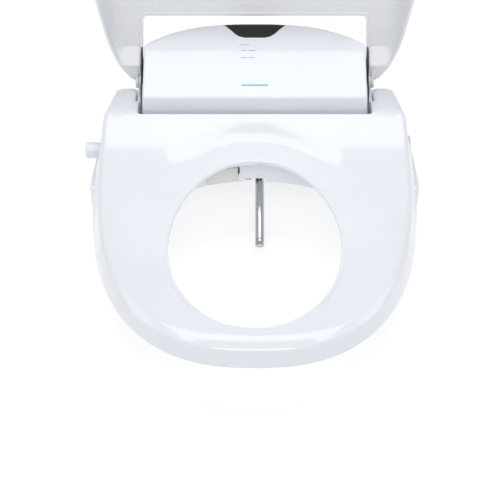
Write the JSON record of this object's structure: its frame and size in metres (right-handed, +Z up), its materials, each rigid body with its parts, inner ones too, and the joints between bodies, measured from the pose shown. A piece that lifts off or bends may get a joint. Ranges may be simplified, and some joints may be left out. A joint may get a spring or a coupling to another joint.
{
  "type": "electric bidet seat",
  "caption": "Electric bidet for a toilet bowl: heated sitting ring, raised lid, rear housing, sliding wash nozzles, warm-air flap, side water inlet and quick-release base.",
  "frame": {"origin": "midway between the two fixing bolts, on the top of the toilet bowl's rear deck", "axes": "+Z up, -Y toward the front of the bowl, +X to the viewer's right"},
  "size_m": [0.4125, 0.527, 0.5964],
  "materials": {
    "gloss_white": "high-gloss white moulding with a faint lavender cast",
    "lid_white": "gloss white moulding, slightly greyer inside the raised lid",
    "warm_white": "satin warm-white moulding",
    "inner_grey": "unpainted moulding",
    "dark_plastic": "fine matt",
    "smoked_window": "polished infrared-clear dark pane",
    "stainless": "polished stainless steel",
    "zinc_plated": "zinc-plated steel",
    "circuit_board": "solder-masked laminate",
    "grey_rubber": "matt",
    "heater_foil": "foil with a printed heating track",
    "silicone_hose": "translucent silicone"
  },
  "bodies": {
    "base": {"base_deck": "gloss_white", "base_pad_left": "grey_rubber", "base_pad_right": "grey_rubber", "base_tray": "gloss_white", "blower_housing": "inner_grey", "blower_motor": "zinc_plated", "bolt_left": "zinc_plated", "bolt_right": "zinc_plated", "control_board": "circuit_board", "diverter_valve": "dark_plastic", "dryer_duct": "inner_grey", "dryer_heater": "dark_plastic", "front_nozzle_motor": "zinc_plated", "hinge_pin_left": "stainless", "hinge_pin_right": "stainless", "housing_cover": "gloss_white", "indicator_light_pipe": "warm_white", "inlet_strainer": "zinc_plated", "ir_receiver_board": "circuit_board", "ir_window": "smoked_window", "lid_damper": "dark_plastic", "main_nozzle_motor": "zinc_plated", "mounting_plate": "inner_grey", "nozzle_cradle": "inner_grey", "odour_filter": "dark_plastic", "power_gland": "dark_plastic", "power_supply": "zinc_plated", "rubber_washer_left": "grey_rubber", "rubber_washer_right": "grey_rubber", "seat_damper": "dark_plastic", "solenoid_valve": "inner_grey", "supply_hose": "silicone_hose", "wash_hose": "silicone_hose", "water_heater": "inner_grey", "water_inlet": "gloss_white", "wing_nut_left": "inner_grey", "wing_nut_right": "inner_grey"},
    "main_nozzle": {"main_nozzle_tube": "stainless", "main_nozzle_pipe": "warm_white", "main_nozzle_rack": "warm_white"},
    "front_nozzle": {"front_nozzle_tube": "stainless", "front_nozzle_pipe": "warm_white", "front_nozzle_rack": "warm_white"},
    "main_pinion": {"main_nozzle_pinion": "warm_white"},
    "front_pinion": {"front_nozzle_pinion": "warm_white"},
    "flap": {"dryer_flap": "warm_white"},
    "impeller": {"blower_impeller": "dark_plastic"},
    "button": {"release_button": "gloss_white", "release_latch": "inner_grey"},
    "ring": {"seat_upper_shell": "gloss_white", "seat_lower_shell": "gloss_white", "seat_heater_foil": "heater_foil", "seat_bumper_1": "grey_rubber", "seat_bumper_2": "grey_rubber", "seat_hinge_ear_left": "gloss_white", "seat_hinge_ear_right": "gloss_white"},
    "lid": {"lid_shell": "lid_white", "lid_bumper_1": "grey_rubber", "lid_bumper_2": "grey_rubber"}
  },
  "joints": [
    {"name": "lid_hinge", "type": "hinge", "parent": "base", "child": "lid", "pos_m": [0, -0.014, 0.075], "axis": [-1, 0, 0], "range_deg": [-100, 0]},
    {"name": "ring_hinge", "type": "hinge", "parent": "base", "child": "ring", "pos_m": [0, -0.014, 0.075], "axis": [-1, 0, 0], "range_deg": [0, 97]},
    {"name": "main_nozzle_slide", "type": "slide", "parent": "base", "child": "main_nozzle", "axis": [0, -0.866, -0.5], "range_m": [-0.09, 0]},
    {"name": "front_nozzle_slide", "type": "slide", "parent": "base", "child": "front_nozzle", "axis": [0, -0.866, -0.5], "range_m": [0, 0.09]},
    {"name": "main_pinion_spin", "type": "hinge", "parent": "base", "child": "main_pinion", "pos_m": [0.006, -0.0493, 0.05934], "axis": [1, 0, 0], "range_deg": [0, 925]},
    {"name": "front_pinion_spin", "type": "hinge", "parent": "base", "child": "front_pinion", "pos_m": [-0.008, -0.0493, 0.05934], "axis": [1, 0, 0], "range_deg": [-925, 0]},
    {"name": "dryer_flap_hinge", "type": "hinge", "parent": "base", "child": "flap", "pos_m": [-0.04074, -0.13532, 0.0255], "axis": [-0.9766, -0.2149, 0], "range_deg": [0, 50]},
    {"name": "blower_spin", "type": "hinge", "parent": "base", "child": "impeller", "pos_m": [-0.092, -0.02, 0.027], "axis": [0, 0, 1], "continuous": true},
    {"name": "release_press", "type": "slide", "parent": "base", "child": "button", "axis": [-1, 0, 0], "range_m": [0, 0.004], "stiffness_N_per_m": 300}
  ],
  "couplings": [
    {"joint": "main_pinion_spin", "follows": "main_nozzle_slide", "rad_per_m": -178.57},
    {"joint": "front_pinion_spin", "follows": "front_nozzle_slide", "rad_per_m": -178.57}
  ]
}
